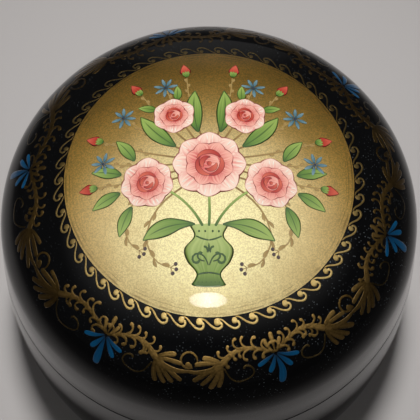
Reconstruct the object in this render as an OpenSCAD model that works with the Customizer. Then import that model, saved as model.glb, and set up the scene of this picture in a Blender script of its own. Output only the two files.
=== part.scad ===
// Round lacquer box with a domed lift-off lid.
// The base is a wound paper tube, turned to a gentle bow, with a floor disc glued into its foot and a
// collar glued inside it. The collar stands above the rim and guides the lid. The lid is one moulded
// shell. A gold ground with a painted bouquet lies on its crown, and round it run a wave border and a
// garland of gold leaves with blue flowers, laid on brushstroke by brushstroke.
// Millimetres, foot on z = 0, axis on Z, the picture upright when seen from -Y.

/* [Base] */
// Diameter at the seam between base and lid
seam_d = 80; // [72:1:110]
// Height of the base from foot to rim
base_h = 28; // [20:0.5:40]
// Radius of the wall's bow, seen from the side
wall_bow = 130; // [110:1:300]
// Lean of the side at the seam in degrees, the box being widest below it
flare = 5.3; // [2:0.1:6]
// Thickness of the wall at the seam
wall_t = 3; // [2.4:0.1:4]
// Rounding of the foot
foot_r = 1.5; // [0.6:0.1:1.6]
// Thickness of the floor disc
floor_t = 3; // [2:0.1:5]
// How far the floor disc sits above the foot
floor_inset = 0.6; // [0.3:0.1:2]
// Glue line between the glued pieces
glue_gap = 0.05; // [0.02:0.01:0.15]
// Easing of the two edges that meet at the seam
edge_ease = 0.3; // [0.1:0.05:0.6]

/* [Collar] */
// Thickness of the collar
collar_t = 1.6; // [1:0.1:2.5]
// Height of the collar above the base's rim
collar_rise = 5; // [3:0.5:7]
// Radial clearance between the collar and the lid
lid_fit = 0.25; // [0.15:0.05:0.5]
// Height left free above the collar in the closed box
collar_clear = 0.5; // [0.3:0.1:1]

/* [Lid] */
// Height of the lid above the seam
lid_h = 29.7; // [28:0.1:34]
// Radius of the rounding between crown and side
shoulder_r = 16.4; // [14:0.1:18]
// Length of the lid's straight side, along its slope
skirt_len = 8.4; // [7:0.1:10]
// Thickness of the lid
lid_t = 3; // [2.2:0.1:4]

/* [Paint] */
// Width of the border between the medallion and the seam, seen from above
border_w = 14.1; // [13:0.1:16]
// Thickness of the gold ground
gold_t = 0.1; // [0.05:0.01:0.2]
// Thickness of a brushstroke along its crest
paint_t = 0.1; // [0.08:0.01:0.2]
// Hairline between one coat and the next
coat_gap = 0.05; // [0.04:0.01:0.08]

/* [Wave border] */
// Length of one wave round the medallion
wave_pitch = 3.15; // [2.5:0.05:5]
// Height of a wave's crest above the medallion's rim
wave_crest = 2.05; // [1.4:0.05:2.6]
// Black left between the medallion and the waves
wave_margin = 0.25; // [0.1:0.05:0.5]
// Width of the brush line
wave_line = 0.4; // [0.25:0.05:0.6]
// Diameter of the round head in each curl
wave_head = 1.15; // [0.8:0.05:1.4]

/* [Garland] */
// Distance from the medallion's rim to the flowers' base
flower_out = 8; // [7:0.1:9]
// Length of a flower's middle petal
petal_len = 6; // [4:0.1:7]
// Width of a flower's middle petal
petal_w = 1.4; // [0.8:0.1:1.8]
// Length of a stem from flower to palmette
stem_len = 11.6; // [10:0.1:13]
// Width of the stems
stem_w = 0.5; // [0.3:0.05:0.8]
// Length of the leaves on the stems
leaf_len = 2.2; // [1.4:0.1:3]
// Width of the leaves at their round ends
leaf_w = 0.55; // [0.3:0.05:0.8]
// Length of the palmettes' strokes
frond_len = 4.7; // [3.5:0.1:5.5]
// Width of the palmettes' strokes
frond_w = 0.85; // [0.5:0.05:1.2]
// Length of the middle bud under a flower
bud_len = 3.3; // [2:0.1:3.5]
// Width of the buds
bud_w = 0.8; // [0.5:0.05:1]
// Length of the brush's way round a scroll
scroll_len = 9.2; // [8:0.1:10]
// Width of the fine curling tendrils
tendril_w = 0.24; // [0.15:0.01:0.4]

/* [Bouquet] */
// Bare gold kept between the bouquet and the medallion's rim
bouquet_margin = 2.4; // [1.5:0.1:5]
// Width of the fine sprigs
sprig_w = 0.3; // [0.2:0.05:0.5]
// Width of the stalks between vase and roses
stalk_w = 0.45; // [0.3:0.05:0.8]

/* [Hidden] */
$fn = 144;
seam_r = seam_d / 2;
bore_r = seam_r - wall_t;
collar_r = bore_r - glue_gap;
lid_bore_r = collar_r + lid_fit;
floor_top = floor_inset + floor_t;

// The wall's bow: the centre of its arc and where the foot's rounding meets it
bow_x = seam_r - wall_bow * cos(flare);
bow_z = base_h - wall_bow * sin(flare);
foot_x = bow_x + sqrt(pow(wall_bow - foot_r, 2) - pow(bow_z - foot_r, 2));
foot_touch = foot_r * (1 - (bow_z - foot_r) / (wall_bow - foot_r));

// The lid's outline above the seam: straight side, shoulder arc, crown arc, each tangent to the next
skirt_x = seam_r - skirt_len * sin(flare);
skirt_z = skirt_len * cos(flare);
shoulder_x = skirt_x - shoulder_r * cos(flare);
shoulder_z = skirt_z - shoulder_r * sin(flare);
drop = lid_h - shoulder_z;
crown_r = (pow(shoulder_x, 2) + pow(drop, 2) - pow(shoulder_r, 2)) / (2 * (drop - shoulder_r));
crown_z = lid_h - crown_r;
join_a = asin(shoulder_x / (crown_r - shoulder_r));

// Paths along the lid's skin, in mm from the top of the crown
join_arc = crown_r * join_a * PI / 180;
medal_r = seam_r - border_w;
medal_a = asin(medal_r / crown_r);
medal_arc = crown_r * medal_a * PI / 180;

// The coats of paint, measured outward from the lid's lacquer
border_coat = coat_gap;
sprig_coat = gold_t + coat_gap;
leaf_coat = sprig_coat + paint_t + coat_gap;
rose_coat = leaf_coat + paint_t + coat_gap;
heart_coat = rose_coat + paint_t + coat_gap;

// The border is drawn flat, in mm round the ring at this radius and mm outward from the medallion
ring_r = seam_r - 6;
wave_count = round(2 * PI * (medal_r + wave_crest / 2) / wave_pitch);
// Where the painter set the six flowers, in degrees round from +X, and a half repeat as drawn
flower_az = [-122.5, -69.5, -15.5, 40.5, 104, 173.5];
half_drawn = 27;
scroll_start = [1.55, 8.9];
scroll_widths = [0.3, 0.35, 0.4, 0.4, 0.4, 0.4, 0.4, 0.45, 0.9, 0.5];
bouquet_r = medal_r - bouquet_margin;

// A point of the lid's skin at arc mm from the top, az degrees round, up mm off the lacquer
function skin(arc, az, up) =
    let (on_crown = arc < join_arc,
         a = on_crown ? arc / crown_r * 180 / PI : join_a + (arc - join_arc) / shoulder_r * 180 / PI,
         r = on_crown ? (crown_r + up) * sin(a) : shoulder_x + (shoulder_r + up) * sin(a),
         z = on_crown ? crown_z + (crown_r + up) * cos(a) : shoulder_z + (shoulder_r + up) * cos(a))
    [r * cos(az), r * sin(az), base_h + z];

// A point of the border, p being drawn flat beside the azimuth az
function on_border(p, up, az) = skin(medal_arc + p.y, az + p.x / ring_r * 180 / PI, up);

// A point of the picture, p being its place on the crown seen from above
function on_medal(p, up) = skin(crown_r * asin(norm(p) / crown_r) * PI / 180, atan2(p.y, p.x), up);

function place(p, up, az) = is_undef(az) ? on_medal(p, up) : on_border(p, up, az);

// The path of a brush that starts at p and turns as it goes: evenly by bend, ever faster by curl
function brush_path(p, heading, length, bend, curl, n, i = 0) =
    i == n ? [p] :
    let (t = (i + 0.5) / n, h = heading + bend * t + curl * t * t)
    concat([p], brush_path(p + length / n * [cos(h), sin(h)], heading, length, bend, curl, n, i + 1));

// A path's sideways direction at its point i
function across(path, i) =
    let (d = path[min(i + 1, len(path) - 1)] - path[max(i - 1, 0)])
    [-d.y, d.x] / norm(d);

function even(w, n) = [for (i = [0 : n]) w];
function swell(w0, w1, n) = [for (i = [0 : n]) w0 + (w1 - w0) * i / n];
function petal(w) = [0.15 * w, 0.75 * w, w, 0.45 * w];
function mirrored(path, side, stretch) = [for (p = path) [side * stretch * p.x, p.y]];

// One brushstroke of paint on the lid: a low mound whose slices have two edges and a crest between them
module stroke(path, widths, coat, az = undef) {
    last = len(path) - 1;
    // Seen from outside, the border's flat drawing is mirrored, so its slices run the other way round
    first_edge = is_undef(az) ? -0.5 : 0.5;
    polyhedron(
        points = [for (j = [0 : last], side = [first_edge, 0, -first_edge])
            place(path[j] + side * widths[j] * across(path, j), side == 0 ? coat + paint_t : coat, az)],
        faces = concat(
            [[2, 1, 0]],
            [for (j = [0 : last - 1], k = [0 : 2], upper = [false, true])
                let (a = 3 * j + k, b = 3 * j + (k + 1) % 3)
                upper ? [a, b + 3, a + 3] : [a, b, b + 3]],
            [[3 * last, 3 * last + 1, 3 * last + 2]]));
}

// A round touch of the brush, highest in its middle
module dab(p, d, coat, sides = 8) {
    rim = [for (i = [0 : sides - 1])
        on_medal(p + d / 2 * [cos(360 / sides * i), sin(360 / sides * i)], coat)];
    hull() polyhedron(
        points = concat([on_medal(p, coat + paint_t)], rim),
        faces = [[for (i = [0 : sides]) i]]);
}

// The base: a wound tube with a bowed outside and a rounded foot
module base_wall() {
    color("#141414") rotate_extrude() difference() {
        intersection() {
            translate([bow_x, bow_z]) circle(r = wall_bow, $fn = 720);
            translate([bore_r, 0]) square([wall_bow, base_h]);
        }
        difference() {
            translate([foot_x, 0]) square([2 * foot_r, foot_touch]);
            translate([foot_x, foot_r]) circle(r = foot_r);
        }
        eased_edge(-1);
    }
}

// What is taken off the outer edge at the seam, below it on the base or above it on the lid
module eased_edge(up) {
    polygon([[seam_r + 1, base_h + up * (edge_ease + 1)],
             [seam_r - edge_ease, base_h],
             [seam_r - edge_ease, base_h - up],
             [seam_r + 1, base_h - up]]);
}

// The floor: a pressed disc glued into the foot of the wall
module base_floor() {
    color("#6b1410") translate([0, 0, floor_inset]) cylinder(r = collar_r, h = floor_t);
}

// The collar: an inner ring from the floor to above the rim, with its top edges eased
module collar() {
    height = base_h + collar_rise - floor_top;
    color("#8c1c14") translate([0, 0, floor_top]) rotate_extrude() polygon([
        [collar_r - collar_t, 0], [collar_r, 0],
        [collar_r, height - edge_ease], [collar_r - edge_ease, height],
        [collar_r - collar_t + edge_ease, height], [collar_r - collar_t, height - edge_ease]]);
}

// Half the lid's section, drawn in by inset from its outer skin
module lid_section(inset) {
    reach = 2 * crown_r;
    side_x = seam_r - inset / cos(flare);
    union() {
        intersection() {
            translate([0, crown_z]) circle(r = crown_r - inset, $fn = 720);
            polygon([[0, crown_z], [0, crown_z + reach],
                     [reach * tan(join_a), crown_z + reach]]);
            translate([0, -1]) square([reach, reach]);
        }
        translate([shoulder_x, shoulder_z]) circle(r = shoulder_r - inset, $fn = 360);
        polygon([[0, -1], [side_x + tan(flare), -1],
                 [skirt_x - inset * cos(flare), skirt_z - inset * sin(flare)],
                 [shoulder_x, shoulder_z], [0, shoulder_z]]);
    }
}

// The lid: one moulded shell, bored out at its foot to pass over the collar
module lid_shell() {
    color("#101010") rotate_extrude() difference() {
        intersection() {
            translate([0, base_h]) lid_section(0);
            translate([0, base_h]) square([seam_d, lid_h]);
        }
        translate([0, base_h]) lid_section(lid_t);
        translate([0, base_h - 1]) square([lid_bore_r, 1 + collar_rise + collar_clear]);
        eased_edge(1);
    }
}

// The gold ground of the medallion, a thin cap on the crown
module gold_ground() {
    color("#c8aa5a") translate([0, 0, base_h]) rotate_extrude() intersection() {
        difference() {
            translate([0, crown_z]) circle(r = crown_r + gold_t, $fn = 720);
            translate([0, crown_z]) circle(r = crown_r, $fn = 720);
        }
        polygon([[0, crown_z], [0, lid_h + 1], [(lid_h + 1 - crown_z) * tan(medal_a), lid_h + 1]]);
    }
}

// The wave border: every line rises, curls over and runs into a round head, under which the next starts
module wave_border() {
    pitch = 360 / wave_count;
    length = pitch * PI / 180 * ring_r;
    foot = wave_margin + wave_line / 2;
    crest = wave_crest - wave_line / 2;
    rise = crest - foot;
    head = wave_margin + wave_head / 2;
    line = [[0.16 * length, foot], [0.42 * length, foot + 0.25 * rise], [0.74 * length, foot + 0.85 * rise],
            [1 * length, crest], [1.2 * length, crest - 0.3 * rise],
            [1.05 * length, head], [0.88 * length, head]];
    widths = [for (w = [0.7, 1, 1, 1, 1.1]) w * wave_line];
    color("#b98f45") union() for (i = [0 : wave_count - 1])
        stroke(line, concat(widths, [wave_head, 0.5 * wave_head]), border_coat, pitch * i);
}

// A stem sags from its flower and rises to its palmette, turning evenly on the way
stem_start = [0.35, flower_out - 0.1];
stem_fall = -42;
stem_turn = 100;
stem_joints = 12;
stem = brush_path(stem_start, stem_fall, stem_len, stem_turn, 0, stem_joints);

// The leafy stem, palmette and tendril between a flower and the middle of a repeat
module half_repeat(az, side, stretch) {
    end = stem[stem_joints];
    module touch(p, heading, length, bend, curl, widths)
        stroke(mirrored(brush_path(p, heading, length, bend, curl, len(widths) - 1), side, stretch),
               widths, border_coat, az);
    // A leaf starts just clear of joint i of the stem, on its outer side (1) or inner side (-1)
    module leaf(i, outer, lean, bend) {
        along = stem_fall + stem_turn * i / stem_joints;
        start = stem[i] + outer * (0.5 * stem_w + coat_gap + 0.1) * [-sin(along), cos(along)];
        touch(start, along + outer * lean, leaf_len, outer * bend, 0, swell(0.3 * leaf_w, leaf_w, 2));
    }
    // A stroke of the palmette starts on a small ring round the stem's end
    module frond(heading, length, bend, widths)
        touch(end + frond_w * [cos(heading), sin(heading)], heading, length, bend, 0, widths);

    // The long frond crosses the middle of the repeat from one side and stops short of it on the other
    long_share = side > 0 ? 1.3 : 0.85;

    touch(stem_start, stem_fall, stem_len, stem_turn, 0, swell(0.6 * stem_w, stem_w, 6));
    for (i = [3 : 2 : 9]) leaf(i, 1, 55, 75);
    for (i = [2 : 2 : 10]) leaf(i, -1, 24, 50);
    for (i = [0 : 3]) frond(98 - 18 * i, frond_len - frond_w + 0.35 * i, -8, swell(0.25 * frond_w, frond_w, 2));
    frond(24, long_share * frond_len, -26, [0.25 * frond_w, 0.8 * frond_w, 0.6 * frond_w, tendril_w]);
    for (i = [0 : 1])
        frond(4 - 22 * i, (0.72 - 0.2 * i) * frond_len, -8, swell(0.25 * frond_w, frond_w, 2));
    touch(end + [-0.75, 1.1], 112, 10.2, 60, 233, even(tendril_w, 6));
}

// The gold of the garland: buds under each flower, leafy stems, palmettes, tendrils and scrolls
module garland_gold() {
    count = len(flower_az);
    base = [0, flower_out];
    color("#a88040") union() for (i = [0 : count - 1]) {
        az = flower_az[i];
        next = flower_az[(i + 1) % count] + (i == count - 1 ? 360 : 0);
        half = (next - az) / 2;
        stretch = half / half_drawn;
        half_repeat(az, 1, stretch);
        half_repeat(next, -1, stretch);
        for (k = [-1 : 1])
            stroke(brush_path(base + [0.25 * k, -0.5], -90 + 28 * k, (1 - 0.4 * abs(k)) * bud_len, 0, 0, 2),
                   [0.25, 0.5, 1] * bud_w, border_coat, az);
        stroke(brush_path(scroll_start, -75, scroll_len, -160, -195, 9), scroll_widths, border_coat, az + half);
    }
}

// The blue flowers: five petals fanned outward from the stems' meeting point
module garland_flowers() {
    base = [0, flower_out];
    color("#1465a0") union() for (az = flower_az, k = [-2 : 2]) {
        size = [1, 0.66, 0.54][abs(k)];
        start = 0.6 * [sin(31 * k), cos(31 * k)];
        stroke(brush_path(base + start, 90 - 31 * k, size * petal_len, 0, 0, 3),
               petal(petal_w * [1, 0.65, 0.5][abs(k)]), border_coat, az);
    }
}

// A stroke of the picture and its mirror image, in shares of the bouquet's radius
module pair(p, heading, length, bend, curl, widths, coat) {
    for (side = [-1, 1])
        stroke([for (q = brush_path(p, heading, length, bend, curl, len(widths) - 1))
                    bouquet_r * [side * q.x, q.y]],
               widths, coat);
}

// Where the roses sit and how large they are, in shares of the bouquet's radius: [x, y, radius, petals]
roses = [[0, 0.02, 0.27, 8], [0.46, -0.12, 0.2, 7], [-0.46, -0.12, 0.2, 7],
         [0.27, 0.45, 0.16, 6], [-0.27, 0.45, 0.16, 6]];

// Round which azimuths the buds and the cornflowers stand
bud_az = [78, 52, 18, -8];
star_az = [65, 35, 5];

// Fine brown-gold sprigs from behind the roses: one to each bud and cornflower, and two that curl over
module bouquet_sprigs() {
    module sprig(a, lean, length, bend, curl, joints)
        pair([0.3 * cos(a), 0.3 * sin(a)], a + lean, length, bend, curl, even(sprig_w, joints), sprig_coat);

    color("#7d5c2a") union() {
        for (a = bud_az) sprig(a, -10, 0.55, 20, 0, 4);
        for (a = star_az) sprig(a, -10, 0.48, 20, 0, 4);
        for (a = [-22, -41]) sprig(a, 8, 0.74, -20, -120, 6);
    }
}

// The green vase, the stalks that rise from it to the roses, and green leaves between them
module bouquet_leaves() {
    vase = [0.28, 0.18, 0.32, 0.36, 0.22, 0.3];
    color("#5f7a35") union() {
        stroke([for (i = [0 : 5]) bouquet_r * [0, -0.9 + 0.09 * i]], bouquet_r * vase, leaf_coat);
        stroke([for (i = [0 : 2]) bouquet_r * [0, -0.42 + 0.07 * i]], even(stalk_w, 2), leaf_coat);
        pair([0.07, -0.42], 62, 0.3, -32, 0, even(stalk_w, 3), leaf_coat);
        pair([0.13, -0.42], -12, 0.36, -34, 0, petal(0.12 * bouquet_r), leaf_coat);
        for (a = [74, 34])
            pair([0.33 * cos(a), 0.33 * sin(a)], a, 0.36, 24, 0, petal(0.12 * bouquet_r), leaf_coat);
        for (a = [62 : -40 : -58])
            pair([0.46 + 0.24 * cos(a), -0.12 + 0.24 * sin(a)], a, 0.2, -20, 0, petal(0.09 * bouquet_r), leaf_coat);
    }
}

// Roses seen from the front: wreaths of broad petals a hairline apart
module bouquet_roses() {
    color("#c46a55") union() for (rose = roses, i = [0 : rose[3] - 1]) {
        a = 360 / rose[3] * i + 90;
        room = 2 * sin(180 / rose[3]) * rose[2];
        path = [for (t = [0.4, 0.65, 0.88, 1]) [rose.x, rose.y] + t * rose[2] * [cos(a), sin(a)]];
        stroke(bouquet_r * path, bouquet_r * room * [0.34, 0.6, 0.8, 0.45], rose_coat);
    }
}

// Deep red hearts of the roses and red buds at the tips of the upper sprigs
module bouquet_hearts() {
    color("#9c2a1e") union() {
        for (rose = roses)
            dab(bouquet_r * [rose.x, rose.y], 0.7 * rose[2] * bouquet_r, heart_coat);
        for (a = bud_az)
            pair([0.86 * cos(a), 0.86 * sin(a)], a, 0.12, 0, 0, petal(0.08 * bouquet_r), rose_coat);
    }
}

// Small blue cornflowers between the buds
module bouquet_cornflowers() {
    color("#3f6fa8") union() for (at = star_az, k = [0 : 4]) {
        a = 72 * k + at;
        pair(0.8 * [cos(at), sin(at)] + 0.03 * [cos(a), sin(a)], a, 0.07, 0, 0,
             bouquet_r * [0.015, 0.05], rose_coat);
    }
}

base_wall();
base_floor();
collar();
lid_shell();
gold_ground();
wave_border();
garland_gold();
garland_flowers();
bouquet_sprigs();
bouquet_leaves();
bouquet_roses();
bouquet_hearts();
bouquet_cornflowers();
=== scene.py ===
import bpy
import numpy as np
from mathutils import Euler, Matrix, Vector


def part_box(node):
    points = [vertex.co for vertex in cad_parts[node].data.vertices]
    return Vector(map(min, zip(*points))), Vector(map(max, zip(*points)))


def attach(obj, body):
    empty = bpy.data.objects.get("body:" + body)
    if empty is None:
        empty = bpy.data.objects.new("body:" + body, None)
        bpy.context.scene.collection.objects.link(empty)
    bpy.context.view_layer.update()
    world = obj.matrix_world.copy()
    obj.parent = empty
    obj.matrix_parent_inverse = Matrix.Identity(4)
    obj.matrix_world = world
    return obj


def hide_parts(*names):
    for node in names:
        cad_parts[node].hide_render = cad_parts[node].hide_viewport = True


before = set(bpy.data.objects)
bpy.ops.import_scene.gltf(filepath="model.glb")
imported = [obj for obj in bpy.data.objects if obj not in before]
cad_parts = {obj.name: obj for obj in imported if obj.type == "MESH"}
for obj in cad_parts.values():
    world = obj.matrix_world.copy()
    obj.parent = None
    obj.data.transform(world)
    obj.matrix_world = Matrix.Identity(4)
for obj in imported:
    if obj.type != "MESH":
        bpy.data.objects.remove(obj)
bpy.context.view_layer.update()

# The base: a paper tube, wound and pressed, turned to a gentle bow and lacquered black.
# Its foot is rounded, and its rim meets the lid edge to edge, both edges slightly eased.
mm = 0.001
seam_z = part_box("lid_shell")[0].z
seam_r = 40 * mm
flare = np.radians(5.3)
wall_bow = 130 * mm
bore_r = seam_r - 3 * mm
foot_r = 1.5 * mm
edge_ease = 0.3 * mm


def surface(name, points, faces, sharp=np.pi):
    """A smooth-shaded mesh object at the origin, with edges sharper than the given angle kept crisp."""
    mesh = bpy.data.meshes.new(name)
    mesh.from_pydata(points, [], faces)
    mesh.shade_smooth()
    mesh.set_sharp_from_angle(angle=sharp)
    mesh.update()
    piece = bpy.data.objects.new(name, mesh)
    bpy.context.scene.collection.objects.link(piece)
    return piece


def turned(name, profile, turns=288):
    """Surface of revolution: point (r, z) of the profile becomes the ring (r cos t, r sin t, z).
    A profile that starts and ends on the axis closes there in a point, any other closes on itself."""
    profile = np.asarray(profile)
    domed = profile[0, 0] < 1e-9
    rings = profile[1:-1] if domed else profile
    t = np.linspace(0, 2 * np.pi, turns, endpoint=False)
    r, z = rings[:, :1], rings[:, 1:]
    points = np.stack([r * np.cos(t), r * np.sin(t), z + 0 * t], axis=2).reshape(-1, 3)
    count = len(rings)
    i = np.arange(count - 1 if domed else count)[:, None]
    j = np.arange(turns)[None, :]
    ahead, beside = (i + 1) % count, (j + 1) % turns
    quads = np.stack([i * turns + j, ahead * turns + j, ahead * turns + beside, i * turns + beside], axis=2)
    faces = quads.reshape(-1, 4).tolist()
    if domed:
        first, last = len(points), len(points) + 1
        j = j.ravel()
        low = (count - 1) * turns
        faces += np.stack([first + 0 * j, j, (j + 1) % turns], axis=1).tolist()
        faces += np.stack([last + 0 * j, low + (j + 1) % turns, low + j], axis=1).tolist()
        tips = [[0, 0, profile[0, 1]], [0, 0, profile[-1, 1]]]
        points = np.concatenate([points, tips])
    return surface(name, points, faces, sharp=np.radians(40))


def arc(centre, radius, start, end, steps):
    """Points on a circle in the (r, z) plane, with the angle measured from the vertical."""
    a = np.linspace(start, end, steps)
    return np.stack([centre[0] + radius * np.sin(a), centre[1] + radius * np.cos(a)], axis=1)


class Wire:
    """One output of a shader node. Arithmetic on it adds a Math node to the same tree."""

    def __init__(self, tree, socket):
        self.tree = tree
        self.socket = socket

    def math(self, operation, *values):
        return self.tree.node("ShaderNodeMath", {"operation": operation}, dict(enumerate(values)))

    def __add__(self, other):
        return self.math("ADD", self, other)

    def __sub__(self, other):
        return self.math("SUBTRACT", self, other)

    def __rsub__(self, other):
        return self.math("SUBTRACT", other, self)

    def __mul__(self, other):
        return self.math("MULTIPLY", self, other)

    def __abs__(self):
        return self.math("ABSOLUTE", self)

    def between(self, low, high):
        """0 at low, 1 at high, and a smooth step from one to the other."""
        inputs = {"Value": self, "From Min": low, "From Max": high}
        return self.tree.node("ShaderNodeMapRange", {"interpolation_type": "SMOOTHSTEP"}, inputs)

    __radd__ = __add__
    __rmul__ = __mul__


class Nodes:
    """A tree of shader nodes, and the one way in which nodes are added to it."""

    def __init__(self, tree):
        self.tree = tree

    def node(self, kind, settings, inputs, output=0):
        """Adds a node: its settings first, then the values or wires of its sockets."""
        made = self.tree.nodes.new(kind)
        for name, value in settings.items():
            setattr(made, name, value)
        for name, value in inputs.items():
            if isinstance(value, Wire):
                self.tree.links.new(value.socket, made.inputs[name])
            else:
                made.inputs[name].default_value = value
        return Wire(self, made.outputs[output])


class Finish(Nodes):
    """A material: one Principled shader, its constant sockets, and the nodes that feed the others."""

    def __init__(self, name, **constants):
        self.material = bpy.data.materials.new(name)
        self.material.use_nodes = True
        super().__init__(self.material.node_tree)
        self.shader = self.tree.nodes["Principled BSDF"]
        for words, value in constants.items():
            self.shader.inputs[words.replace("_", " ")].default_value = value

    def where(self):
        """Object coordinates, the same for every piece because each one's object sits at the origin."""
        return self.node("ShaderNodeTexCoord", {}, {}, "Object")

    def noise(self, scale, detail=2.0):
        return self.node("ShaderNodeTexNoise", {}, {"Vector": self.where(), "Scale": scale, "Detail": detail})

    def own(self, attribute):
        """A value that the piece's mesh carries at each vertex."""
        return self.node("ShaderNodeAttribute", {"attribute_name": attribute}, {}, "Fac")

    def away_from(self, point):
        """Distance from a point, in metres."""
        ends = {0: self.where(), 1: point}
        return self.node("ShaderNodeVectorMath", {"operation": "DISTANCE"}, ends, "Value")

    def mix(self, share, first, second):
        """Colour first where share is 0, colour second where it is 1."""
        made = self.tree.nodes.new("ShaderNodeMix")
        made.data_type = "RGBA"
        for socket, value in ((made.inputs[0], share), (made.inputs[6], first), (made.inputs[7], second)):
            if isinstance(value, Wire):
                self.tree.links.new(value.socket, socket)
            else:
                socket.default_value = value if isinstance(value, float) else (*value, 1)
        return Wire(self, made.outputs[2])

    def drive(self, **wires):
        for words, wire in wires.items():
            self.tree.links.new(wire.socket, self.shader.inputs[words.replace("_", " ")])

    def bump(self, height, distance):
        """Tilts the surface by the height, in metres of relief where the height is 1."""
        self.drive(Normal=self.node("ShaderNodeBump", {}, {"Height": height, "Distance": distance}))


clear_coat = {"Coat_Weight": 0.9, "Coat_Roughness": 0.05, "Coat_IOR": 1.32}


def lacquer(name, colour, dust, dust_colour):
    """Many coats of lacquer rubbed to a deep gloss, slightly cloudy in patches. Fine specks of dust lie
    on it in drifts, as thickly as dust says, and more of them to one side."""
    finish = Finish(name, Specular_IOR_Level=0.0, **clear_coat)
    depth = finish.mix(finish.noise(55.0), colour, tuple(1.6 * c for c in colour))
    dusty_way = {0: finish.where(), 1: (0.95, -0.3, 0)}
    side = finish.node("ShaderNodeVectorMath", {"operation": "DOT_PRODUCT"}, dusty_way, "Value")
    drift = finish.noise(45.0, 3.0).between(0.3, 0.6) * finish.noise(420.0).between(0.3, 0.7)
    drift = drift * (0.4 + side.between(-20 * mm, 30 * mm))
    specks = 0
    for scale, reach in ((1700.0, 0.22), (1000.0, 0.15), (480.0, 0.08)):
        cells = {"Vector": finish.where(), "Scale": scale, "Randomness": 1.0}
        near = finish.node("ShaderNodeTexVoronoi", {"feature": "F1"}, cells, "Distance")
        specks = (1 - near.between(0.3 * reach, reach)) + specks
    lying = specks * drift * dust
    haze = finish.noise(38.0).between(0.55, 0.8) * (0.03 * dust)
    colour = finish.mix(haze, depth, (0.09, 0.11, 0.13))
    finish.drive(Base_Color=finish.mix(lying, colour, dust_colour), Roughness=0.3 + 0.4 * lying)
    return finish.material


def dress(piece, material, node, body):
    """Gives the piece its finish, and makes it ride on a body in place of a solid of the frame."""
    piece.data.materials.append(material)
    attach(piece, body)
    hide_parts(node)


black = lacquer("black_lacquer", (0.0022, 0.0022, 0.0024), dust=0.5, dust_colour=(0.17, 0.19, 0.2))

bow_centre = (seam_r - wall_bow * np.cos(flare), seam_z - wall_bow * np.sin(flare))
foot_x = bow_centre[0] + np.sqrt((wall_bow - foot_r) ** 2 - (bow_centre[1] - foot_r) ** 2)
foot_a = np.arctan2(foot_x - bow_centre[0], foot_r - bow_centre[1])
wall = np.concatenate([
    arc((seam_r - edge_ease, seam_z - edge_ease), edge_ease, 0, np.pi / 2 - flare, 6),
    arc(bow_centre, wall_bow, np.pi / 2 - flare + edge_ease / wall_bow, foot_a, 60),
    arc((foot_x, foot_r), foot_r, foot_a, np.pi, 12)[1:],
    [[bore_r, 0], [bore_r, seam_z]]])
dress(turned("base_wall_turned", wall), black, "base_wall", "base")

# The floor and the collar: a pressed disc and an inner ring, glued into the tube and lacquered red.
# The collar stands above the rim with eased edges, so that the lid slides down over it.
red = lacquer("red_lacquer", (0.2, 0.012, 0.009), dust=0.1, dust_colour=(0.5, 0.4, 0.36))
floor_low, floor_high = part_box("base_floor")
collar_low, collar_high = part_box("collar")
collar_r = bore_r - 0.05 * mm
collar_in = collar_r - 1.6 * mm
collar_ease = 0.3 * mm

disc = [[0, floor_high.z], [collar_r - 0.2 * mm, floor_high.z], [collar_r, floor_high.z - 0.2 * mm],
        [collar_r, floor_low.z], [0, floor_low.z]]
dress(turned("base_floor_disc", disc), red, "base_floor", "base")
ring = np.concatenate([
    [[collar_in, collar_low.z]],
    arc((collar_in + collar_ease, collar_high.z - collar_ease), collar_ease, -np.pi / 2, 0, 6),
    arc((collar_r - collar_ease, collar_high.z - collar_ease), collar_ease, 0, np.pi / 2, 6),
    [[collar_r, collar_low.z]]])
dress(turned("collar_ring", ring), red, "collar", "base")

# The lid: one moulded shell. From the top, its outline is a wide crown arc, a tight shoulder arc and a
# straight side, each tangent to the next. Black outside, red inside, bored out to pass over the collar.
lid_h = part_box("lid_shell")[1].z - seam_z
lid_t = 3 * mm
skirt_len = 8.4 * mm
shoulder_r = 16.4 * mm
lid_bore_r = collar_r + 0.25 * mm
bore_top = seam_z + 5.5 * mm
skirt_x = seam_r - skirt_len * np.sin(flare)
skirt_z = seam_z + skirt_len * np.cos(flare)
shoulder_x = skirt_x - shoulder_r * np.cos(flare)
shoulder_z = skirt_z - shoulder_r * np.sin(flare)
drop = seam_z + lid_h - shoulder_z
crown_r = (shoulder_x ** 2 + drop ** 2 - shoulder_r ** 2) / (2 * (drop - shoulder_r))
crown_z = seam_z + lid_h - crown_r
join_a = np.arcsin(shoulder_x / (crown_r - shoulder_r))
join_arc = crown_r * join_a


def lid_outline(inset, steps):
    """The lid's outline from the top to the end of its shoulder, drawn in by inset."""
    crown = arc((0, crown_z), crown_r - inset, 0, join_a, steps)
    shoulder = arc((shoulder_x, shoulder_z), shoulder_r - inset, join_a, np.pi / 2 - flare, steps)
    return np.concatenate([crown, shoulder[1:]])


shell = np.concatenate([
    lid_outline(0, 70),
    arc((seam_r - edge_ease, seam_z + edge_ease), edge_ease, np.pi / 2 - flare, np.pi, 6)])
inner_x = seam_r - lid_t / np.cos(flare)
lining = np.concatenate([
    [[seam_r - edge_ease, seam_z], [lid_bore_r, seam_z], [lid_bore_r, bore_top],
     [inner_x - (bore_top - seam_z) * np.tan(flare), bore_top]],
    lid_outline(lid_t, 40)[::-1]])
lid = turned("lid_shell_turned", np.concatenate([shell, lining[1:]]))
lid.data.materials.append(black)
lid.data.materials.append(red)
count = len(lid.data.polygons)
middle, facing = np.empty(3 * count), np.empty(3 * count)
lid.data.polygons.foreach_get("center", middle)
lid.data.polygons.foreach_get("normal", facing)
middle, facing = middle.reshape(-1, 3), facing.reshape(-1, 3)
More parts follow.
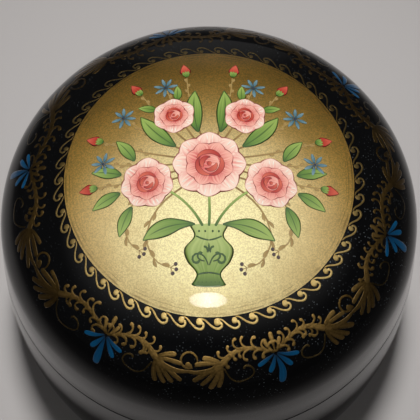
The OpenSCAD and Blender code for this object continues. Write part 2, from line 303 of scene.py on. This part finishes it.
# The lining is red: the faces that look in towards the axis, or down from above the rim.
towards_axis = (middle[:, :2] * facing[:, :2]).sum(axis=1) < -1e-6
inside = (facing[:, 2] < -0.001) & (middle[:, 2] > seam_z + 0.5 * mm) | towards_axis
lid.data.polygons.foreach_set("material_index", inside.astype(np.int32))
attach(lid, "lid")
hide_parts("lid_shell")

# The gold ground: gold powder laid on the crown and lacquered over. Its grain is fine and metallic and worn
# brown in places. Its tone is paler in front of the middle and deeper and darker away from it: partly the
# powder's own tone, partly painted light, brightest where the lamp's reflection falls. A thin brown brush has
# been drawn round it just inside the rim.
medal_r = seam_r - 14.1 * mm
gold_t = 0.02 * mm


def powder_gold():
    """Metal grains under a glossier clear coat: two sizes of grain over a tone that deepens and darkens away
    from a pale place in front of the middle, partly painted light that is brightest where the lamp's
    reflection falls, worn patches that are denser towards the rim, and three wandering rim lines that come
    and go."""
    finish = Finish("gold_ground", Metallic=1.0, Coat_Weight=0.9, Coat_Roughness=0.035, Coat_IOR=1.5)
    grain = finish.noise(3900.0, 3.0)
    coarse = finish.noise(1600.0)
    cloud = finish.noise(150.0, 4.0)
    flat = finish.node("ShaderNodeVectorMath", {"operation": "MULTIPLY"}, {0: finish.where(), 1: (1, 1, 0)})
    from_axis = finish.node("ShaderNodeVectorMath", {"operation": "LENGTH"}, {0: flat}, "Value")
    # Painted light, in part: the gold is paler near this place in front of the middle and darker away from
    # it.
    pale_lit_place = {0: flat, 1: (0, -12 * mm, 0)}
    from_pale_lit = finish.node("ShaderNodeVectorMath", {"operation": "DISTANCE"}, pale_lit_place, "Value")
    outward = from_axis.between(0.2 * medal_r, 1.02 * medal_r)
    deeper_and_shaded = from_pale_lit.between(0.2 * medal_r, 1.3 * medal_r)
    body = finish.mix(deeper_and_shaded, (0.94, 0.87, 0.47), (1.0, 0.61, 0.13))
    speck = (0.78 * grain + 0.22 * coarse).between(0.4, 0.6)
    body = finish.mix(speck, finish.mix(0.42, body, (0.36, 0.24, 0.07)), body)
    worn = (cloud + 0.15 * outward).between(0.56, 0.8) * 0.22
    body = finish.mix(worn, body, (0.5, 0.32, 0.08))
    off = from_axis + cloud * (1.1 * mm) - 0.6 * mm
    broken = finish.noise(230.0).between(0.4, 0.58)
    rim_lines = ((0.985, 0.18 * mm, 0.5), (0.958, 0.08 * mm, 0.45), (0.94, 0.06 * mm, 0.3))
    for place, width, strength in rim_lines:
        line = 1 - abs(off - place * medal_r).between(0.4 * width, 1.2 * width)
        body = finish.mix(line * broken * strength, body, (0.24, 0.13, 0.03))
    finish.drive(Base_Color=body, Roughness=0.38 + 0.26 * grain)
    finish.bump(0.6 * grain + 0.4 * coarse, 0.02 * mm)
    return finish.material


medal_a = np.arcsin(medal_r / crown_r)
medal_arc = crown_r * medal_a
cap = np.concatenate([arc((0, crown_z), crown_r + gold_t, 0, medal_a, 60),
                      arc((0, crown_z), crown_r + 0.002 * mm, medal_a, 0, 30)])
dress(turned("gold_ground_cap", cap), powder_gold(), "gold_ground", "lid")

# The wave border: gold brushwork laid straight on the black, one line after another round the medallion.
# Each line rises, curls over and ends in a round head, and the next starts from under that head.
ring_r = seam_r - 6 * mm
wave_pitch = 3.15 * mm
wave_count = round(2 * np.pi * (medal_r + 1.025 * mm) / wave_pitch)
paint_t = 0.02 * mm
chance = np.random.default_rng(7)


def skin(along, az, up):
    """The point at a length along the lid's outline from the top, turned to az, up off the lacquer:
    the centre of the arc that it lies on, plus that arc's radius and up in the arc's direction."""
    on_crown = along < join_arc
    a = np.where(on_crown, along / crown_r, join_a + (along - join_arc) / shoulder_r)
    radius = np.where(on_crown, crown_r, shoulder_r) + up
    r = np.where(on_crown, 0, shoulder_x) + radius * np.sin(a)
    z = np.where(on_crown, crown_z, shoulder_z) + radius * np.cos(a)
    return np.stack([r * np.cos(az), r * np.sin(az), z], axis=-1)


def on_border(flat, up, az):
    """A point of the border, drawn flat in mm round from the azimuth and mm outward from the medallion."""
    return skin(medal_arc + flat[..., 1] * mm, az + flat[..., 0] * mm / ring_r, up)


def on_medal(flat, up, _az):
    """A point of the picture, drawn as seen from above in mm. It needs no azimuth."""
    away = np.hypot(flat[..., 0], flat[..., 1]) * mm
    return skin(crown_r * np.arcsin(away / crown_r), np.arctan2(flat[..., 1], flat[..., 0]), up)


def follow(points, steps):
    """A smooth line through a few points: a cubic between each two, with the slope of its neighbours."""
    p = np.asarray(points, float)
    p = np.concatenate([2 * p[:1] - p[1:2], p, 2 * p[-1:] - p[-2:-1]])
    t = np.linspace(0, len(points) - 1.0001, steps)
    i = t.astype(int)
    f = (t - i)[:, None]
    a, b, c, d = p[i], p[i + 1], p[i + 2], p[i + 3]
    return b + 0.5 * f * (c - a + f * (2 * a - 5 * b + 4 * c - d + f * (3 * (b - c) + d - a)))


def brushwork(name, strokes, place, lift, steps=26, round_off=1.0):
    """Brushstrokes as one mesh. A stroke is (points, widths, azimuth): its line is followed smoothly and
    its slices are low flat-topped mounds across the line, drawn in to a half circle at both ends.
    Attributes: along runs 0 to 1 from start to end, across runs -1 to 1 over the width, depth is the way
    in from the nearest edge as a share of the stroke's half width, and tone is one value a stroke."""
    across = np.array([-1, -0.82, -0.4, 0, 0.4, 0.82, 1, 0])
    rise = np.array([0, 0.8, 1, 1, 1, 0.8, 0, -0.12])
    t = 0.5 - 0.5 * np.cos(np.linspace(0, np.pi, steps))
    points, faces = [], []
    values = {"along": [], "across": [], "depth": [], "tone": []}
    for line, widths, az in strokes:
        path = follow(line, 4 * steps)
        length = np.concatenate([[0], np.cumsum(np.hypot(*np.diff(path, axis=0).T))])
        share = length / length[-1]
        path = np.stack([np.interp(t, share, path[:, 0]), np.interp(t, share, path[:, 1])], axis=1)
        full = follow(np.asarray(widths, float)[:, None], 4 * steps)[:, 0]
        width = np.interp(t, np.linspace(0, 1, 4 * steps), full) / 2
        for end, away in ((0, t * length[-1]), (-1, (1 - t) * length[-1])):
            near = np.clip(away / max(round_off * width[end], 1e-6), 0, 1)
            width = width * np.maximum(np.sqrt(1 - (1 - near) ** 2), 0.02)
        step = np.gradient(path, axis=0)
        left = np.stack([-step[:, 1], step[:, 0]], axis=1) / np.hypot(*step.T)[:, None]
        flat = path[:, None] + across[None, :, None] * width[:, None, None] * left[:, None]
        swell = (width / width.max())[:, None]
        points.append(place(flat, lift + paint_t * rise * swell, az).reshape(-1, 3))
        values["along"].append(np.repeat(t, len(across)))
        values["across"].append(np.tile(across, steps))
        values["depth"].append((swell * (1 - abs(across))).ravel())
        values["tone"].append(np.full(steps * len(across), chance.uniform()))
    count = len(across)
    row = count * np.arange(steps - 1)[:, None]
    k = np.arange(count)[None, :]
    beside = (k + 1) % count
    quads = np.stack([row + k, row + beside, row + count + beside, row + count + k], axis=2).reshape(-1, 4)
    ends = [list(range(count))[::-1], [(steps - 1) * count + n for n in range(count)]]
    if place is on_border:
        quads, ends = quads[:, ::-1], [end[::-1] for end in ends]
    for number in range(len(strokes)):
        shift = number * steps * count
        faces += (quads + shift).tolist() + [[n + shift for n in end] for end in ends]
    piece = surface(name, np.concatenate(points), faces)
    for word, parts in values.items():
        attribute = piece.data.attributes.new(word, "FLOAT", "POINT")
        attribute.data.foreach_set("value", np.concatenate(parts).astype(np.float32))
    return piece


def gold_paint(name, thin, full, least, rich_lit_reach):
    """Gold powder on a brush: full along the stroke's middle and at its head, thin and brown where the
    brush ran dry. The grain of the powder shows in the colour and adds to the roughness, which is least
    between the grains. Within a given distance of the lid's front the gold keeps its full colour, and
    beyond that it turns darker and duller: painted shade, which stands partly for thinner paint."""
    finish = Finish(name, Metallic=1.0, **clear_coat)
    grain = finish.noise(2600.0, 3.0)
    load = 0.3 * finish.own("along") + 0.35 * finish.own("depth") + 0.25 * finish.own("tone") + 0.7 * grain
    colour = finish.mix(load.between(0.3, 1.15), thin, full)
    front = (4 * mm, -30 * mm, 45 * mm)
    # Painted shade: away from the lid's front the gold turns darker and duller, standing partly for thinner
    # paint.
    scant_and_shaded = finish.away_from(front).between(rich_lit_reach, 37 * mm) * 0.7
    colour = finish.mix(scant_and_shaded, colour, tuple(0.55 * c for c in thin))
    finish.drive(Base_Color=colour, Roughness=least + 0.25 * grain)
    finish.bump(grain, 0.015 * mm)
    return finish.material


wave_line = [(0.05, 0.22), (0.30, 0.55), (0.60, 1.45), (0.85, 2.0), (1.02, 2.1), (1.17, 1.85), (1.21, 1.4),
             (1.12, 0.9)]
wave_widths = [0.22, 0.32, 0.38, 0.4, 0.42, 0.46, 0.52, 0.6]
pitch = 2 * np.pi / wave_count
waves = []
for az in pitch * np.arange(wave_count):
    pressed = 0.88 - 0.12 * np.sin(az)
    tall, wide = chance.normal(1, 0.035), chance.normal(1, 0.06) * pressed
    shift = np.array([chance.normal(0, 0.07), chance.normal(0, 0.03)])
    line = np.array([(u * pitch * ring_r / mm, s * tall) for u, s in wave_line]) + shift
    head = np.array([0.97 * pitch * ring_r / mm, 0.84]) + shift
    size = 0.66 * chance.normal(1, 0.06) * pressed
    waves.append((line, [w * wide for w in wave_widths], az))
    waves.append(([head - (size, 0), head, head + (size, 0)], [2 * size, 2 * size, 2 * size], az))
wave_gold = gold_paint("wave_gold", (0.5, 0.32, 0.09), (0.98, 0.73, 0.28), least=0.3, rich_lit_reach=21 * mm)
dress(brushwork("wave_border_brushwork", waves, on_border, lift=0.01 * mm), wave_gold,
      "wave_border", "lid")

# The garland: leafy gold stems that run from flower to flower, each ending in a palmette of broad strokes.
# The painter set six flowers round the shoulder by eye. A scroll with a round head fills each middle.
flower_az = np.radians([-122.5, -69.5, -15.5, 40.5, 104, 173.5])
half_drawn = np.radians(27)
stem = [(0.1, 8.0), (0.9, 7.5), (2.4, 6.8), (4.05, 6.25), (5.6, 6.0), (7.0, 6.2), (8.3, 6.8), (9.2, 7.6),
        (10.3, 8.6)]


def brush_path(start, heading, length, bend, curl, steps=10):
    """A line that starts at a point and turns as it goes, in degrees: its heading at the share t of its
    length is heading + bend t + curl t squared."""
    t = (np.arange(steps) + 0.5) / steps
    heading = np.radians(heading + bend * t + curl * t * t)
    way = np.cumsum(np.stack([np.cos(heading), np.sin(heading)], axis=1), axis=0) * length / steps
    return np.concatenate([[start], np.asarray(start) + way])


def crooks_along(branch, places, side, length, lean):
    """Leaves like crooks: each leaves the branch at a share of its length, leaning forward to one side of
    it, bends ever faster away from it, and ends in a ball."""
    line = follow(branch, 101)
    step = np.gradient(line, axis=0)
    strokes = []
    for place in places:
        at = int(100 * place)
        along = np.degrees(np.arctan2(step[at, 1], step[at, 0]))
        hand = chance.normal(1, 0.15, 3)
        path = brush_path(line[at], along + side * lean * hand[0], length * hand[1], side * 10 * hand[2],
                          side * 185 * hand[0], 9)
        thick = chance.normal(1, 0.1)
        strokes.append((path, [thick * w for w in (0.54, 0.56, 0.52, 0.45, 0.39, 0.45, 0.67, 0.65)]))
    return strokes


root = np.array([9.9, 8.2])
palmette = [((10.9, 12.9), -14), ((12.3, 12.9), -8), ((13.7, 12.5), -4), ((15.1, 11.6), 2),
            ((14.9, 8.6), 10), ((13.6, 7.0), 16)]
tendril = [(9.6, 9.2), (8.7, 11.0), (7.8, 11.9), (6.8, 12.1), (5.2, 11.6), (4.4, 10.7), (4.7, 9.6),
           (5.7, 9.2), (6.2, 9.7)]
turn = np.linspace(0, 1.9 * np.pi, 12)
turned_in = 1 - 0.03 * turn
round_x = 1.62 * np.cos(0.75 - turn) * turned_in
round_y = 7.75 + 1.62 * np.sin(0.75 - turn) * turned_in
scroll = np.concatenate([np.stack([round_x, round_y], axis=1), [(0.1, 8.65), (-0.35, 8.15)]])


def half_repeat():
    """One half of a repeat in the flat drawing: stem, crooks on both sides, palmette, long stroke."""
    strokes = [(stem, [0.4, 0.6, 0.72, 0.76, 0.8, 0.85, 0.95, 1.15, 1.3])]
    strokes += crooks_along(stem, (0.06, 0.18, 0.3, 0.42, 0.54, 0.66, 0.78), -1, 2.9, 17)
    strokes += crooks_along(stem, (0.12, 0.25, 0.38, 0.5, 0.62, 0.73), 1, 2.8, 17)
    for tip, bend in palmette:
        tip = np.array(tip) + chance.normal(0, 0.15, 2)
        away = tip - root
        start = root + 0.1 * away
        heading = np.degrees(np.arctan2(*(tip - start)[::-1])) - bend
        path = brush_path(start, heading, np.hypot(*(tip - start)), 2 * bend, 0, 6)
        thick = chance.normal(1, 0.08)
        strokes.append((path, [thick * w for w in (0.56, 0.76, 0.88, 0.92, 0.8)]))
    strokes.append(([root, root + (1.1, 0.9), root + (2.2, 1.3)], [1.1, 1.7, 0.8]))
    strokes.append(([root, (12.0, 9.5), (14.6, 9.9), (17.2, 9.6)], [0.8, 1.2, 0.8, 0.2]))
    return strokes


golds, tendrils = [], []
for az, after in zip(flower_az, np.roll(flower_az, -1)):
    gap = (after - az) % (2 * np.pi)
    stretch = gap / 2 / half_drawn
    for side, centre in ((1, az), (-1, after)):
        golds += [(np.asarray(line) * (side * stretch, 1), widths, centre) for line, widths in half_repeat()]
        curled = np.array(tendril) * (side * stretch, 1) + chance.normal(0, 0.12, 2)
        tendrils.append((curled, [0.36, 0.32, 0.3, 0.28, 0.27, 0.27, 0.3, 0.36, 0.44], centre))
    golds.append((scroll, [0.3, 0.34, 0.4, 0.42, 0.42, 0.42, 0.42, 0.5, 0.8, 1.25], az + gap / 2))
    for end, last in (((0.1, 4.3), 0.95), ((-1.5, 5.4), 0.8), ((1.6, 5.6), 0.75)):
        middle = np.array(end) / 2 + (0.12 * end[0], 4.1)
        golds.append(([(0, 8), middle, end], [0.25, 0.35 * last, 0.7 * last, last, 0.9 * last], az))
leaf_gold = gold_paint("garland_gold", (0.18, 0.103, 0.023), (0.73, 0.455, 0.135), least=0.34, rich_lit_reach=8 * mm)
dress(brushwork("garland_brushwork", golds, on_border, lift=0.01 * mm), leaf_gold,
      "garland_gold", "lid")
faint_gold = gold_paint("tendril_gold", (0.1, 0.066, 0.018), (0.28, 0.185, 0.06), least=0.34, rich_lit_reach=20 * mm)
dress(brushwork("tendril_brushwork", tendrils, on_border, lift=0.008 * mm), faint_gold,
      "garland_gold", "lid")

# The garland's blue flowers: five strokes fanned outward from where the stems meet, thick and opaque.
# The middle petal is the longest and broadest, and the brush has left darker streaks along each.


def tempera(name, dark, body, light, line, streak=0.5, rib=0.0):
    """Opaque paint: body colour streaked along the stroke and lighter towards its end, a dark line that
    follows its edge where depth is below line, and where rib is above 0 a dark line along its middle."""
    finish = Finish(name, Roughness=0.5, **clear_coat)
    along, across, tone = finish.own("along"), finish.own("across"), finish.own("tone")
    wander = {"W": across * 2.6 + tone * 40 + along * 0.4, "Scale": 2.2, "Detail": 3.0}
    hairs = finish.node("ShaderNodeTexNoise", {"noise_dimensions": "1D"}, wander)
    shade = 0.85 * along + streak * (hairs - 0.5) + 0.16 * tone
    colour = finish.mix(shade.between(0.12, 0.95), body, light)
    colour = finish.mix((1 - along.between(0.0, 0.25)) * 0.75, colour, dark)
    colour = finish.mix((1 - finish.own("depth").between(0.6 * line, 1.3 * line)) * 0.85, colour, dark)
    if rib:
        vein = (1 - abs(across).between(0.3 * rib, rib)) * (1 - along.between(0.7, 0.95))
        colour = finish.mix(vein * 0.8, colour, dark)
    finish.drive(Base_Color=colour)
    return finish.material


petals = []
for az in flower_az:
    for tip, last in (((-0.2, 14.4), 1.3), ((2.3, 11.8), 0.95), ((-2.1, 11.8), 0.95), ((3.7, 9.8), 0.85),
                      ((-3.6, 9.9), 0.85)):
        tip = np.array(tip) + chance.normal(0, 0.25, 2)
        start = np.array([0, 8.1]) + 0.09 * (tip - (0, 8.1))
        beside = np.array([start[1] - tip[1], tip[0] - start[0]])
        middle = (start + tip) / 2 + beside * chance.normal(0, 0.03)
        petals.append(([start, middle, tip], [0.25, 0.6 * last, 0.9 * last, 1.05 * last, 0.8 * last], az))
petal_blue = tempera("petal_blue", (0.0, 0.008, 0.02), (0.0, 0.026, 0.068), (0.0, 0.068, 0.165),
                     line=0.08, streak=2.2)
dress(brushwork("flower_brushwork", petals, on_border, lift=0.03 * mm), petal_blue,
      "garland_flowers", "lid")

# The bouquet on the gold: fine sprigs first, in a brown little darker than the gold. One runs to each bud
# and each small blue flower, and two on each side curl over below the roses and end in dark berries.
bouquet_r = (medal_r - 2.4 * mm) / mm
bud_az = (78, 52, 18, -8)
star_az = (65, 35, 5)


def both(strokes, line, widths):
    """Adds a stroke of the picture and its mirror image, in shares of the bouquet's radius."""
    broad = [w * bouquet_r for w in widths]
    for side in (-1, 1):
        strokes.append((np.asarray(line) * (side * bouquet_r, bouquet_r), broad, 0))


def polar(r, degrees):
    """The point at a distance from the middle of the picture, in a direction."""
    return r * np.array([np.cos(np.radians(degrees)), np.sin(np.radians(degrees))])


sprigs, berries = [], []
for a, length, bend, curl, lean in ([(a, 0.55, 20, 0, -10) for a in bud_az]
                                    + [(a, 0.48, 20, 0, -10) for a in star_az]
                                    + [(a, 0.74, -20, -120, 8) for a in (-22, -41)]):
    line = brush_path(polar(0.24, a), a + lean, length + 0.06, bend, curl, 11)
    both(sprigs, line, [0.015, 0.013, 0.009])
    for place in range(4, 11):
        way = np.degrees(np.arctan2(*(line[place + 1] - line[place - 1])[::-1]))
        off = 38 if place % 2 else -38
        reach = 0.07 if curl else 0.045
        both(sprigs, brush_path(line[place], way + off, reach, -off, 0, 4), [0.006, 0.02, 0.024, 0.006])
    if curl:
        for turned_by in (-50, 0, 50):
            way = np.degrees(np.arctan2(*(line[-1] - line[-2])[::-1])) + turned_by
            end = line[-1] + polar(0.045, way)
            both(sprigs, [line[-1], end], [0.006, 0.006])
            both(berries, [end - (0.014, 0), end, end + (0.014, 0)], [0.028, 0.028, 0.028])
sprig_brown = tempera("sprig_brown", (0.2, 0.11, 0.03), (0.3, 0.19, 0.06), (0.38, 0.26, 0.09), line=0.1)
dress(brushwork("bouquet_sprig_brushwork", sprigs, on_medal, lift=0.03 * mm, steps=14), sprig_brown,
      "bouquet_sprigs", "lid")
berry_black = tempera("berry_black", (0.006, 0.004, 0.004), (0.02, 0.012, 0.012), (0.09, 0.05, 0.045),
                      line=0.2)
dress(brushwork("bouquet_berry_brushwork", berries, on_medal, lift=0.04 * mm, steps=14), berry_black,
      "bouquet_sprigs", "lid")

# The green vase and the leaves: light yellow-green bodies with dark outlines and ribs. Stalks rise from
# the vase's mouth to the roses, and dark scrolls, bands and a row of dots are painted over its body.
vase_widths = (0.28, 0.18, 0.32, 0.36, 0.22, 0.3)
vase_line = np.array([(0, -0.9 + 0.09 * n) for n in range(6)])
vase = [(vase_line * bouquet_r, [w * bouquet_r for w in vase_widths], 0)]
vase_green = tempera("vase_green", (0.02, 0.07, 0.01), (0.17, 0.27, 0.045), (0.42, 0.5, 0.17),
                     line=0.06, streak=0.9)
vase_body = brushwork("bouquet_vase_brushwork", vase, on_medal, lift=0.05 * mm, steps=70, round_off=0.16)
dress(vase_body, vase_green, "bouquet_leaves", "lid")

leaves = [(np.array([(0, -0.47), (0.004, -0.36), (0, -0.22)]) * bouquet_r, [0.5, 0.45, 0.45], 0)]
both(leaves, brush_path((0.045, -0.47), 64, 0.37, -32, 0), [0.022, 0.018, 0.018])
both(leaves, brush_path((0.1, -0.455), 8, 0.41, -46, 0), [0.016, 0.07, 0.13, 0.11, 0.012])
for a in (74, 34):
    both(leaves, brush_path(polar(0.3, a), a, 0.4, 24, 0), [0.02, 0.1, 0.13, 0.1, 0.012])
for a in (62, 22, -18, -58):
    both(leaves, brush_path((0.46, -0.12) + polar(0.21, a), a, 0.24, -20, 0), [0.02, 0.08, 0.1, 0.07, 0.01])
for a in (98, 22):
    both(leaves, brush_path((0.27, 0.45) + polar(0.14, a), a, 0.15, -16, 0), [0.02, 0.06, 0.07, 0.05, 0.01])
leaf_green = tempera("leaf_green", (0.018, 0.06, 0.009), (0.1, 0.2, 0.03), (0.3, 0.41, 0.1),
                     line=0.16, rib=0.12)
dress(brushwork("bouquet_leaf_brushwork", leaves, on_medal, lift=0.05 * mm), leaf_green,
      "bouquet_leaves", "lid")

details = []
for start, heading, length, curl in (((0.004, -0.75), 72, 0.26, -330), ((0.03, -0.72), 10, 0.12, 230),
                                     ((0.012, -0.66), 96, 0.06, -120)):
    both(details, brush_path(start, heading, length, 0, curl, 14), [0.008, 0.012, 0.015, 0.02])
details.append((np.array([(0, -0.66), (0, -0.62), (0, -0.59)]) * bouquet_r, [0.12, 0.4, 0.1], 0))
both(details, brush_path((0.0, -0.57), 8, 0.1, 20, 0), [0.01, 0.012, 0.01])
both(details, brush_path((0.0, -0.8), -2, 0.085, -14, 0), [0.012, 0.012, 0.01])
for n in range(2):
    both(details, [(0.02 + 0.045 * n, -0.505), (0.035 + 0.045 * n, -0.505)], [0.018, 0.018])
for n in range(4):
    both(details, [(0.015 + 0.03 * n, -0.865), (0.02 + 0.03 * n, -0.865)], [0.014, 0.014])
scroll_green = tempera("scroll_green", (0.01, 0.035, 0.006), (0.016, 0.05, 0.008), (0.03, 0.08, 0.014),
                       line=0.1)
dress(brushwork("bouquet_vase_scrolls", details, on_medal, lift=0.072 * mm, steps=18), scroll_green,
      "bouquet_leaves", "lid")

# The roses: rings of petals, the outer ones washed pale and streaked with crimson from the middle, the
# inner ones deeper. Each has a tightly curled crimson heart, and thin cream lines catch the light.
roses = [(0, 0.02, 0.27, 8), (0.46, -0.12, 0.2, 7), (-0.46, -0.12, 0.2, 7), (0.27, 0.45, 0.16, 6),
         (-0.27, 0.45, 0.16, 6)]
outer, inner, hearts, lights = [], [], [], []
for x, y, size, count in roses:
    for ring_of, reach, twist, widths in ((outer, 1.0, 0.0, (0.45, 0.95, 1.12, 0.9)),
                                          (inner, 0.68, 0.5, (0.5, 1.0, 1.1, 0.8))):
        for n in range(count):
            a = 90 + 360 / count * (n + twist) + chance.normal(0, 2)
            room = 2 * np.sin(np.pi / count) * size * reach
            line = [(x, y) + polar(size * reach * t * chance.normal(1, 0.015), a) for t in (0.3, 0.65, 1.0)]
            ring_of.append((np.array(line) * bouquet_r, [room * bouquet_r * w for w in widths], 0))
            if ring_of is outer:
                for off in (-7, 5):
                    edge = [(x, y) + polar(size * t, a + off * t) for t in (0.74, 0.84, 0.93)]
                    lights.append((np.array(edge) * bouquet_r, [0.1, 0.22, 0.1], 0))
    for radius, start in ((0.36, 20), (0.33, 140), (0.35, 260), (0.2, 80), (0.19, 230)):
        centre = np.array([x, y]) + polar(radius * size, start)
        curl_round = brush_path(centre, start + 90, 2.4 * radius * size, 135, 0)
        hearts.append((curl_round * bouquet_r, [w * size * bouquet_r for w in (0.03, 0.13, 0.15, 0.04)], 0))
    centre = np.array([x, y])
    for strokes, half in ((inner, 0.33 * size), (hearts, 0.07 * size)):
        line = np.array([centre - (half, 0), centre, centre + (half, 0)])
        strokes.append((line * bouquet_r, [2 * half * bouquet_r] * 3, 0))
rose_pink = tempera("rose_pink", (0.4, 0.025, 0.03), (0.76, 0.24, 0.2), (0.9, 0.68, 0.55),
                    line=0.13, streak=0.9)
dress(brushwork("bouquet_rose_brushwork", outer, on_medal, lift=0.07 * mm), rose_pink,
      "bouquet_roses", "lid")
rose_deep = tempera("rose_deep", (0.34, 0.015, 0.02), (0.62, 0.1, 0.09), (0.84, 0.42, 0.33),
                    line=0.14, streak=0.9)
dress(brushwork("bouquet_rose_inner_brushwork", inner, on_medal, lift=0.09 * mm), rose_deep,
      "bouquet_roses", "lid")
cream = tempera("cream_light", (0.8, 0.66, 0.52), (0.88, 0.78, 0.66), (0.92, 0.86, 0.76), line=0.1)
dress(brushwork("bouquet_rose_lights", lights, on_medal, lift=0.092 * mm, steps=10), cream,
      "bouquet_roses", "lid")

# The buds and the roses' hearts: crimson, darkest at their edges. A green cup of three short strokes
# holds each bud where its sprig ends.
cups = []
for a in bud_az:
    both(hearts, brush_path(polar(0.865, a), a, 0.12, 0, 0, 4), [0.03, 0.085, 0.06, 0.012])
    for off in (-32, 0, 32):
        both(cups, brush_path(polar(0.845, a), a + off, 0.065, -0.8 * off, 0, 4), [0.014, 0.03, 0.008])
bud_red = tempera("bud_red", (0.14, 0.008, 0.008), (0.36, 0.02, 0.016), (0.6, 0.12, 0.07), line=0.16)
dress(brushwork("bouquet_heart_brushwork", hearts, on_medal, lift=0.112 * mm), bud_red,
      "bouquet_hearts", "lid")
dress(brushwork("bouquet_bud_cups", cups, on_medal, lift=0.134 * mm, steps=12), leaf_green,
      "bouquet_leaves", "lid")

# The small blue flowers between the buds: seven thin strokes each round a dark eye, in a dull blue-green.
stars, eyes = [], []
for at in star_az:
    for n in range(7):
        a = 360 / 7 * n + at + chance.normal(0, 4)
        both(stars, [polar(0.8, at) + polar(r, a) for r in (0.012, 0.05, 0.095)], [0.01, 0.03, 0.012])
    for side in (-1, 1):
        eye = polar(0.8, at) * (side, 1)
        eyes.append((np.array([eye - (0.012, 0), eye, eye + (0.012, 0)]) * bouquet_r, [0.5, 0.5, 0.5], 0))
star_blue = tempera("star_blue", (0.02, 0.06, 0.08), (0.07, 0.15, 0.185), (0.17, 0.28, 0.31), line=0.12)
dress(brushwork("bouquet_cornflower_brushwork", stars, on_medal, lift=0.06 * mm, steps=14), star_blue,
      "bouquet_cornflowers", "lid")
eye_dark = tempera("eye_dark", (0.01, 0.015, 0.03), (0.02, 0.03, 0.06), (0.05, 0.07, 0.1), line=0.1)
dress(brushwork("bouquet_cornflower_eyes", eyes, on_medal, lift=0.082 * mm, steps=10), eye_dark,
      "bouquet_cornflowers", "lid")

# The setting: a plain floor with a painted pool of light, pale round the box and darker away from it, and
# the camera where the photo was taken from, steeply above. A small lamp gives the highlight. A soft one
# nearly overhead lights the floor and casts the shadow, and is kept out of reflections, where only a wide
# glow overhead shows.
floor = surface("floor", np.array([[-3, -3, 0], [3, -3, 0], [3, 3, 0], [-3, 3, 0]], float), [[0, 1, 2, 3]])
ground = Finish("pale_floor", Roughness=0.8, Specular_IOR_Level=0.15)
# Painted light: the floor's colour darkens away from the box, a pool of light painted round it.
painted_light_falloff = ground.away_from((-20 * mm, 25 * mm, 0)).between(77 * mm, 150 * mm)
ground.drive(Base_Color=ground.mix(painted_light_falloff, (0.465, 0.441, 0.43), (0.11, 0.105, 0.102)))
floor.data.materials.append(ground.material)

camera = bpy.data.objects.new("camera", bpy.data.cameras.new("camera"))
bpy.context.scene.collection.objects.link(camera)
camera.data.lens = 120
camera.data.sensor_width = 36
camera.data.clip_start = 0.01
camera_at = Vector((0, -0.1051, 0.27886))
camera_turned = Euler(np.radians([23.614, -0.129, 0.198]))
camera.matrix_world = Matrix.LocRotScale(camera_at, camera_turned, None)
bpy.context.scene.camera = camera


def lamp(name, place, aim, size, watts, spread):
    """A soft elliptical lamp at a place, turned to face a point, its light kept within a cone."""
    light = bpy.data.lights.new(name, "AREA")
    light.shape = "ELLIPSE"
    light.size, light.size_y = size
    light.energy = watts
    light.spread = np.radians(spread)
    made = bpy.data.objects.new(name, light)
    bpy.context.scene.collection.objects.link(made)
    made.location = place
    made.rotation_euler = (Vector(aim) - Vector(place)).to_track_quat("-Z", "Y").to_euler()
    return made


glint = Vector((-0.0001, -0.0227, 0.0532))
key_way = Vector((-0.004, -0.43, 0.903))
key_away = 0.35
lamp("key", glint + key_away * key_way, glint, size=(0.092, 0.037), watts=0.0018, spread=22)
sky = lamp("sky", (0.0, 0.2, 0.9), (0, 0.02, 0), size=(0.16, 0.16), watts=0.29, spread=34)
sky.visible_glossy = False

# The world glows overhead, wider sideways than in depth, and a little low behind the box. Diffuse rays
# get only a small part of it, so that the shadow on the floor stays dark.
world = bpy.data.worlds.new("studio")
world.use_nodes = True
air = Nodes(world.node_tree)
way = air.node("ShaderNodeTexCoord", {}, {}, "Generated")
squeezed = air.node("ShaderNodeVectorMath", {"operation": "MULTIPLY"}, {0: way, 1: (0.68, 1, 1)})
wide = air.node("ShaderNodeVectorMath", {"operation": "NORMALIZE"}, {0: squeezed})
overhead = {0: wide, 1: (0, 0.08, 0.997)}
toward = air.node("ShaderNodeVectorMath", {"operation": "DOT_PRODUCT"}, overhead, "Value")
behind = air.node("ShaderNodeVectorMath", {"operation": "DOT_PRODUCT"}, {0: way, 1: (0, 1, 0)}, "Value")
glow = 0.03 + 1.78 * toward.between(0.68, 0.97) + 0.25 * behind.between(0.93, 1)
diffuse_share = 0.07
looking = 0
for ray in ("Is Camera Ray", "Is Glossy Ray", "Is Transmission Ray"):
    looking = air.node("ShaderNodeLightPath", {}, {}, ray) + looking
backdrop = world.node_tree.nodes["Background"]
backdrop.inputs["Color"].default_value = (1.0, 0.98, 0.96, 1)
strength = glow * (diffuse_share + (1 - diffuse_share) * looking)
world.node_tree.links.new(strength.socket, backdrop.inputs["Strength"])
bpy.context.scene.world = world
bpy.context.scene.view_settings.view_transform = "Standard"
